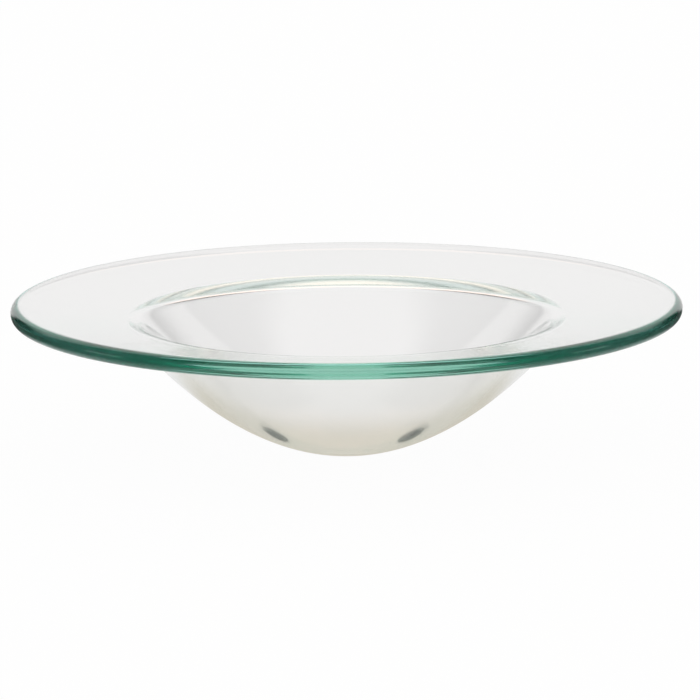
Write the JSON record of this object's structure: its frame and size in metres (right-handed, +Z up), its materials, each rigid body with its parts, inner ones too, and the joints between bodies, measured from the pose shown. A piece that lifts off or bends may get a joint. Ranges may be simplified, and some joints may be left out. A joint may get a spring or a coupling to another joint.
{
  "type": "wax melt warmer dish",
  "caption": "Round clear glass dish of a wax melt warmer: a deep well for melted wax, a small flat foot and a wide sloping flange with a rounded edge.",
  "frame": {"origin": "centre of the flat foot's underside, on the dish's axis", "axes": "+Z up along the dish's axis of symmetry, -Y towards the picture's viewer"},
  "size_m": [0.127, 0.127, 0.029],
  "materials": {
    "clear_glass": "clear float glass, polished, green through its thickness at the edge"
  },
  "bodies": {
    "root": {"glass_dish": "clear_glass"}
  },
  "joints": []
}
